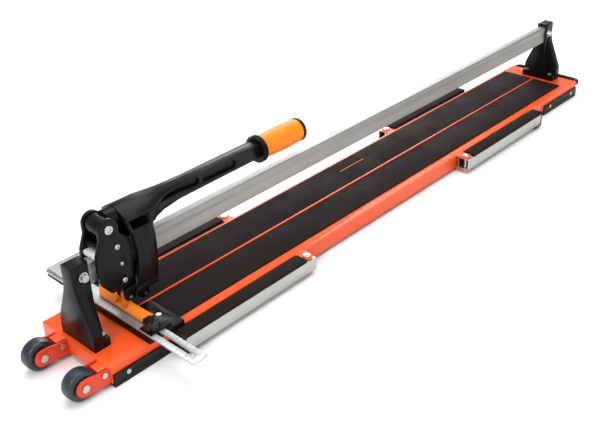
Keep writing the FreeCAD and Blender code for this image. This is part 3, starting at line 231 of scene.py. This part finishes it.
def grip_rubber():
    """Soft-touch grip moulded over the lever's end: warm amber, a little light carried inside it,
    a fine leather-like grain and a slight darkening where hands hold it."""
    material, tree, place = blank("soft_touch_grip_rubber")
    held = add(tree, "ShaderNodeTexNoise", {"Vector": place, "Scale": per_metre(38), "Detail": 2.0})
    grain = add(tree, "ShaderNodeTexVoronoi", {"Vector": place, "Scale": per_metre(1.1)})
    tone = add(tree, "ShaderNodeMix",
               {"Factor": held.outputs["Fac"], "A": linear("#F98601"), "B": linear("#F07A00")},
               data_type="RGBA")
    gloss = add(tree, "ShaderNodeMapRange", {"Value": held.outputs["Fac"], "To Min": 0.38, "To Max": 0.55})
    bump = add(tree, "ShaderNodeBump",
               {"Height": grain.outputs["Distance"], "Strength": 0.3, "Distance": 0.12 * MM})
    surface(tree, Base_Color=tone.outputs["Result"], Roughness=gloss.outputs[0],
            Normal=bump.outputs["Normal"], IOR=1.4, Subsurface_Weight=0.04, Subsurface_Scale=0.003)
    return material


finishes = {
    # Semi-gloss orange powder coat on the folded steel bed: bright, smooth, with soft highlights.
    "orange_paint": powder_coat("orange_powder_coat", "#EC4E16", "#EA561C", 2.2, 0.05, 0.26, 0.38,
                                index=1.42),
    # The same orange coat, lighter and yellower as its lit faces look, on the breaking foot and the pad
    # marker: painted light.
    "amber_paint": powder_coat("lit_orange_powder_coat", "#FA8A1C", "#F58018", 2.2, 0.05, 0.26, 0.38),
    # The same coat, one shade darker and redder on the wheel forks: painted shade for the shade they stand
    # in.
    "fork_paint": powder_coat("shaded_orange_powder_coat", "#DE3A16", "#D4380F", 2.2, 0.05, 0.28, 0.4),
    # Textured black powder coat on die castings: near black and grainy, with a faint broad sheen.
    "black_cast": powder_coat("black_textured_powder_coat", "#070708", "#0D0D0E", 1.3, 0.1, 0.25, 0.4,
                              index=1.26),
    # Plain black paint on steel bar and tube.
    "black_steel": powder_coat("black_satin_paint", "#070708", "#0C0C0D", 2.4, 0.05, 0.33, 0.46,
                               index=1.28),
    # Pressed rubber sheet of the deck: matt, dark brown-grey, with a pebbled face.
    "deck_rubber": moulded("pressed_rubber_sheet", "#1C1615", "#241D1C", 1.6, 0.2, 0.6, 0.8, index=1.16),
    # Black ABS mouldings: feet and end caps, with a fine satin grain.
    "foot_plastic": moulded("black_moulded_abs", "#0A0A0B", "#111112", 0.9, 0.08, 0.4, 0.56, index=1.3),
    "knob_plastic": moulded("black_moulded_nylon", "#090909", "#101010", 0.8, 0.06, 0.36, 0.5),
    # Dark blue-grey tyre rubber with a soft, slightly polished tread.
    "wheel_rubber": moulded("moulded_tyre_rubber", "#1C232B", "#28303A", 2.0, 0.06, 0.3, 0.46),
    # Off-white nylon slide shoes: slightly waxy.
    "slide_nylon": moulded("natural_nylon", "#E9E8E2", "#D8D6CE", 1.2, 0.04, 0.35, 0.5),
    # Extruded aluminium of the rail and the supports: die lines run along X.
    "rail_aluminium": drawn_metal("extruded_rail_aluminium", "#A3A3A1", "#999997", 0.9, 0, 0.46, 0.58,
                                  streaks=0.2),
    "arm_aluminium": drawn_metal("extruded_arm_aluminium", "#BDBEBA", "#AEAFAB", 0.9, 0, 0.3, 0.45),
    # Ground steel rollers, their colour darkened to paint the shade of the carriage on them, and the
    # ground carbide wheel.
    "roller_steel": drawn_metal("shade_darkened_roller_steel", "#454547", "#353537", 0.5, 0, 0.16, 0.3),
    "carbide": drawn_metal("ground_tungsten_carbide", "#7C7D80", "#66676A", 0.4, 0, 0.2, 0.3),
    # Bright zinc plate on the bolts, nuts, screws and pins.
    "zinc": zinc_plate(),
    "rule_aluminium": graduated_aluminium(),
    "grip_plastic": grip_rubber(),
}


# ---------------------------------------------------------------- modelling
def only(obj):
    """Makes this the one selected object."""
    bpy.ops.object.select_all(action="DESELECT")
    obj.select_set(True)
    bpy.context.view_layer.objects.active = obj


def finished(obj, name, node, angle=30):
    """Applies the place, shades it, gives it its finish, and stands it in for the model's node."""
    only(obj)
    bpy.ops.object.transform_apply(location=True, rotation=True, scale=True)
    bpy.ops.object.shade_smooth_by_angle(angle=math.radians(angle))
    obj.name = name
    obj.data.materials.clear()
    obj.data.materials.append(finishes[SLOT_OF[node]])
    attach(obj, BODY_OF[node])
    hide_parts(node)
    return obj


def loose(obj, name, node, slot):
    """A small extra piece with its own finish that moves with the model's node."""
    only(obj)
    bpy.ops.object.transform_apply(location=True, rotation=True, scale=True)
    bpy.ops.object.shade_smooth_by_angle(angle=math.radians(40))
    obj.name = name
    obj.data.materials.clear()
    obj.data.materials.append(finishes[slot])
    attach(obj, BODY_OF[node])


def modify(obj, kind, **settings):
    """Adds a modifier and applies it."""
    only(obj)
    modifier = obj.modifiers.new(kind.lower(), kind)
    for name, value in settings.items():
        setattr(modifier, name, value)
    bpy.ops.object.modifier_apply(modifier=modifier.name)


def bare_copy(node):
    """A free copy of a node's mesh with its loose triangles merged into whole faces."""
    source = frame["nodes"][node]
    mesh = source.data.copy()
    obj = bpy.data.objects.new(f"{node}_finish", mesh)
    bpy.context.scene.collection.objects.link(obj)
    only(obj)
    bpy.ops.object.mode_set(mode="EDIT")
    bpy.ops.mesh.select_all(action="SELECT")
    bpy.ops.mesh.remove_doubles(threshold=0.002 * MM)
    bpy.ops.mesh.dissolve_limited(angle_limit=math.radians(0.6))
    bpy.ops.object.mode_set(mode="OBJECT")
    return obj


def softened(node, width, segments=2, limit=32):
    """The node with its sharp edges broken to a small radius, as folding, casting or filing leaves
    them."""
    obj = bare_copy(node)
    modify(obj, "BEVEL", width=width * MM, segments=segments, limit_method="ANGLE",
           angle_limit=math.radians(limit), use_clamp_overlap=True, harden_normals=False)
    return finished(obj, f"{node}_piece", node)


def drawn_line(points, closed=False):
    """A line of edges through the points, extruded vertex by vertex."""
    bpy.ops.object.select_all(action="DESELECT")
    bpy.ops.mesh.primitive_plane_add(size=MM, location=points[0])
    obj = bpy.context.object
    bpy.ops.object.mode_set(mode="EDIT")
    bpy.ops.mesh.merge(type="CENTER")
    for before, point in zip(points, points[1:]):
        bpy.ops.mesh.extrude_region_move(TRANSFORM_OT_translate={"value": Vector(point) - Vector(before)})
    if closed:
        bpy.ops.mesh.select_all(action="SELECT")
        bpy.ops.mesh.edge_face_add()
    return obj


def turned(centre, axis, profile, steps=64):
    """A turned piece: (along, radius) pairs spun about an axis through the centre."""
    axis = Vector(axis)
    side = axis.orthogonal().normalized()
    centre = Vector(centre)
    points = [centre + axis * along * MM + side * radius * MM for along, radius in profile]
    obj = drawn_line(points)
    bpy.ops.mesh.select_all(action="SELECT")
    bpy.ops.mesh.spin(steps=steps, angle=2 * math.pi, center=centre, axis=axis)
    bpy.ops.mesh.select_all(action="SELECT")
    bpy.ops.mesh.remove_doubles(threshold=0.003 * MM)
    bpy.ops.mesh.normals_make_consistent(inside=False)
    bpy.ops.object.mode_set(mode="OBJECT")
    return obj


def arc(centre_along, centre_radius, radius, start, stop, steps=6):
    """Profile points round a corner, by angle from the outward direction."""
    turns = [math.radians(start + (stop - start) * k / steps) for k in range(steps + 1)]
    return [(centre_along + radius * math.sin(t), centre_radius + radius * math.cos(t)) for t in turns]


def rib(points, radius):
    """A thin round rib that follows a line of points."""
    obj = drawn_line(points)
    bpy.ops.object.mode_set(mode="OBJECT")
    bpy.ops.object.convert(target="CURVE")
    curve = bpy.context.object
    curve.data.bevel_depth = radius * MM
    curve.data.bevel_resolution = 2
    curve.data.use_fill_caps = True
    bpy.ops.object.convert(target="MESH")
    return bpy.context.object


def joined(objects):
    """Several objects as one."""
    only(objects[0])
    for obj in objects:
        obj.select_set(True)
    bpy.ops.object.join()
    return bpy.context.object


def centre_of(node):
    low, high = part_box(node)
    return (low + high) / 2


# ---------------------------------------------------------------- softened edges
# How far the sharp edges of each node are broken, in mm.
EDGES = {
    "base_tray": 1.6, "front_post": 2.2, "rear_post": 2.2, "guide_rail": 0.5, "rule_bearer": 0.7,
    "graduated_rule": 0.35, "far_square": 0.35, "far_square_spacer": 0.6, "wheel_fork_near": 0.6,
    "wheel_fork_far": 0.6, "deck_pad_near": 0.7, "deck_pad_far": 0.7, "side_stop": 1.0,
    "stop_nut": 0.3, "stop_knob": 1.2, "carriage_plate_near": 1.2, "carriage_plate_far": 1.2,
    "slide_shoes": 0.8, "top_roller": 0.4, "low_roller": 0.4, "cutter_head": 0.9, "breaker_foot": 0.9,
    "post_bolts": 0.35, "rail_bolts": 0.35, "wheel_bolts": 0.35, "arm_pivot_bolts": 0.6,
    "foot_screws": 0.3, "lever": 1.4,
}
for end in ("front", "rear"):
    for side in ("near", "far"):
        EDGES[f"corner_foot_{end}_{side}"] = 1.0
        EDGES[f"support_arm_{end}_{side}"] = 0.4
        EDGES[f"arm_pad_{end}_{side}"] = 0.7
        EDGES[f"arm_cap_{end}_{side}"] = 0.9
for node, width in EDGES.items():
    softened(node, width)


# ---------------------------------------------------------------- turned pieces
def transport_wheels():
    """Solid rubber wheels: a crowned tread with round shoulders and a raised boss at the bore."""
    for side in ("near", "far"):
        node = f"transport_wheel_{side}"
        low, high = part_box(node)
        radius = (high.z - low.z) / 2 / MM
        half = (high.y - low.y) / 2 / MM
        face = half - 0.6
        bore = 4.05
        profile = [(-half, bore), (-half, 8.4), (-half + 0.6, 9.0), (-face + 0.9, 9.6),
                   (-face + 0.9, radius - 8)]
        profile += arc(-face + 6.2, radius - 6.4, 6.2, -90, -8)
        profile += [(0, radius)]
        profile += arc(face - 6.2, radius - 6.4, 6.2, 8, 90)
        profile += [(face - 0.9, radius - 8), (face - 0.9, 9.6), (half - 0.6, 9.0), (half, 8.4),
                    (half, bore), (-half, bore)]
        finished(turned(centre_of(node), (0, 1, 0), profile), f"transport_wheel_{side}_tyre", node)


def grip():
    """The grip is narrow at the guard and swells towards its middle. Its end cap has a rounded nose
    with a shallow dish."""
    low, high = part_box("grip")
    length = (high.x - low.x) / MM
    radius = (high.z - low.z) / 2 / MM
    base = Vector((low.x, centre_of("grip").y, centre_of("grip").z))
    stations = ((0, 0.86), (0.02, 0.905), (0.10, 0.93), (0.20, 0.955), (0.35, 0.985), (0.50, 1.0),
                (0.65, 1.0), (0.80, 0.985), (0.92, 0.96), (1.0, 0.93))
    profile = [(0, 0.01)] + [(length * t, radius * k) for t, k in stations] + [(length, 0.01)]
    body = turned(base, (1, 0, 0), profile, steps=96)
    modify(body, "BEVEL", width=1.2 * MM, segments=3, limit_method="ANGLE", angle_limit=math.radians(50))
    finished(body, "grip_sleeve", "grip", angle=40)
    low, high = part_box("grip_cap")
    thick = (high.x - low.x) / MM
    rim = (high.z - low.z) / 2 / MM
    cap = [(0, 0.01), (0, rim - 0.4), (0.8, rim)] + arc(thick - 4.5, rim - 4.5, 4.5, 10, 90)
    cap += [(thick, rim * 0.5), (thick - 0.8, rim * 0.45), (thick - 0.8, 0.01)]
    finished(turned(Vector((low.x, base.y, base.z)), (1, 0, 0), cap), "grip_end_cap", "grip_cap")


def collar():
    """The guard in front of the grip: a wide rim, a groove and a narrower rim."""
    low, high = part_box("lever_collar")
    thick = (high.x - low.x) / MM
    rim = (high.z - low.z) / 2 / MM
    start = Vector((low.x, centre_of("lever_collar").y, centre_of("lever_collar").z))
    profile = [(0, 0.01), (0, rim - 5)] + arc(1.8, rim - 1.8, 1.8, -90, 60)
    profile += [(4.2, rim - 2.6), (5.0, rim - 2.6)]
    profile += arc(thick - 2.2, rim - 2.0, 2.0, -60, 90) + [(thick, rim - 3.4), (thick, 0.01)]
    finished(turned(start, (1, 0, 0), profile), "lever_guard", "lever_collar")


def recessed_bolt(centre, half, head, thick, shank, socket):
    """A bolt across the carriage: a domed head with a round recess at each end."""
    profile = []
    for sign in (-1, 1):
        end = half + thick
        side = [(end - 1.6, 0.01), (end - 1.6, socket), (end - 0.2, socket + 0.4), (end, socket + 0.9),
                (end, head - 1.3), (end - 0.4, head - 0.4), (end - 1.2, head), (half, head), (half, shank)]
        points = [(sign * along, radius) for along, radius in side]
        profile += points if sign < 0 else points[::-1]
    return turned(centre, (0, 1, 0), profile, steps=40)


def carriage_bolts():
    """The pivot bolt, the two roller axles and the adjusters, from outer face to outer face."""
    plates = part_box("carriage_plate_far")[1].y / MM
    pivot = recessed_bolt(centre_of("pivot_bolt"), plates, 7.2, 2.8, 5.0, 3.4)
    finished(pivot, "pivot_bolt_turned", "pivot_bolt")
    axles = [recessed_bolt(centre_of(node), plates, 4.4, 1.1, 3.0, 1.9)
             for node in ("top_roller", "low_roller")]
    finished(joined(axles), "roller_axles_turned", "roller_axles")
    adjusters = recessed_bolt(centre_of("adjuster_screws"), plates, 3.0, 1.1, 2.4, 1.4)
    finished(adjusters, "adjuster_screws_turned", "adjuster_screws")


def lit_slot_marker():
    """The painted steel marker that shows through the slot in the far pad, with rounded ends, in the
    lighter amber coat: painted light where the slot would hold shade.
    """
    lug_reach = 15.5  # the wheel lugs stand this far out of the bed's front face
    from_front, from_middle, length, radius = 664.5, 49.1, 74, 1.25
    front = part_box("base_tray")[0].x + lug_reach * MM
    start = Vector((front + from_front * MM, from_middle * MM, centre_of("deck_pad_far").z))
    marker = rib([start, start + Vector((length * MM, 0, 0))], radius)
    loose(marker, "lit_slot_marker", "base_tray", "amber_paint")


def lever_ribs():
    """The cast seam that runs down each side of the lever, from the hood's brow to the ledge under
    the pockets."""
    pivot = centre_of("pivot_bolt")
    line = [(30, 29.0, 5.6), (57, 29.0, 4.2), (76, 28.5, 2.6), (90, 23.2, 1.4), (105, 17.5, 0.2),
            (122, 15.0, -1.0), (140, 12.5, -2.2), (182, 12.1, -5.2), (262, 12.0, -6.8)]
    seams = []
    for side in (-1, 1):
        points = [(pivot.x + x * MM, side * y * MM, pivot.z + z * MM) for x, y, z in line]
        seams.append(rib(points, 1.2))
    loose(joined(seams), "lever_seams", "lever", "black_cast")


transport_wheels()
grip()
collar()
carriage_bolts()
lit_slot_marker()
lever_ribs()

# The nodes that keep the model's own mesh take their finish in its slots.
for node, obj in frame["nodes"].items():
    if not obj.hide_render:
        for material_slot in obj.material_slots:
            material_slot.material = finishes[SLOT_OF[node]]


# ---------------------------------------------------------------- floor, light and camera
def plain_floor():
    """Seamless pale paper under the machine."""
    material, tree, place = blank("pale_backdrop_paper")
    fibre = add(tree, "ShaderNodeTexNoise", {"Vector": place, "Scale": per_metre(12), "Detail": 4.0})
    tone = add(tree, "ShaderNodeMix",
               {"Factor": fibre.outputs["Fac"], "A": linear("#F6F6F5"), "B": linear("#F1F1F0")},
               data_type="RGBA")
    surface(tree, Base_Color=tone.outputs["Result"], Roughness=0.9)
    bpy.ops.object.select_all(action="DESELECT")
    bpy.ops.mesh.primitive_plane_add(size=16.0, location=(0, 0, 0))
    floor = bpy.context.object
    floor.name = "floor"
    floor.data.materials.append(material)


def soft_light(name, place, aim, side, energy):
    """A square soft box that points at a spot on the machine."""
    lamp = bpy.data.lights.new(name, "AREA")
    lamp.shape = "SQUARE"
    lamp.size = side
    lamp.energy = energy
    obj = bpy.data.objects.new(name, lamp)
    obj.location = place
    obj.rotation_euler = (Vector(aim) - Vector(place)).to_track_quat("-Z", "Y").to_euler()
    bpy.context.scene.collection.objects.link(obj)


def studio():
    """White surroundings at half strength and four soft boxes; the one behind lights the lever's top."""
    world = bpy.data.worlds.new("studio")
    world.use_nodes = True
    world.node_tree.nodes["Background"].inputs["Color"].default_value = linear("#FFFFFF")
    world.node_tree.nodes["Background"].inputs["Strength"].default_value = 0.5
    bpy.context.scene.world = world
    bpy.context.scene.view_settings.view_transform = "Standard"
    soft_light("overhead", (0.1, 0.2, 2.6), (0, 0, 0), 2.4, 60)
    soft_light("front_left", (-2.2, -0.6, 1.6), (-0.3, 0, 0.1), 1.2, 26)
    soft_light("near_side", (0.6, -2.6, 1.3), (0.1, 0, 0), 1.6, 14)
    soft_light("behind", (2.6, 2.4, 1.9), (0, 0, 0.1), 2.2, 75)


def camera():
    """A long lens in front of the near front corner, looking along and down the bed."""
    azimuth, elevation, roll = (math.radians(a) for a in (-46.74, 30.23, -1.78))
    back = Vector((math.sin(azimuth) * math.cos(elevation), -math.cos(azimuth) * math.cos(elevation),
                   math.sin(elevation)))
    right = (-back).cross(Vector((0, 0, 1))).normalized()
    up = right.cross(-back)
    across = right * math.cos(roll) + up * math.sin(roll)
    upward = up * math.cos(roll) - right * math.sin(roll)
    lens = bpy.data.cameras.new("camera")
    lens.sensor_width = 36.0
    lens.lens = 53.78
    obj = bpy.data.objects.new("camera", lens)
    turn = Matrix((across, upward, back)).transposed().to_4x4()
    obj.matrix_world = Matrix.Translation((-1.2017, -0.9665, 0.8618)) @ turn
    bpy.context.scene.collection.objects.link(obj)
    bpy.context.scene.camera = obj


plain_floor()
studio()
camera()

bpy.context.view_layer.update()
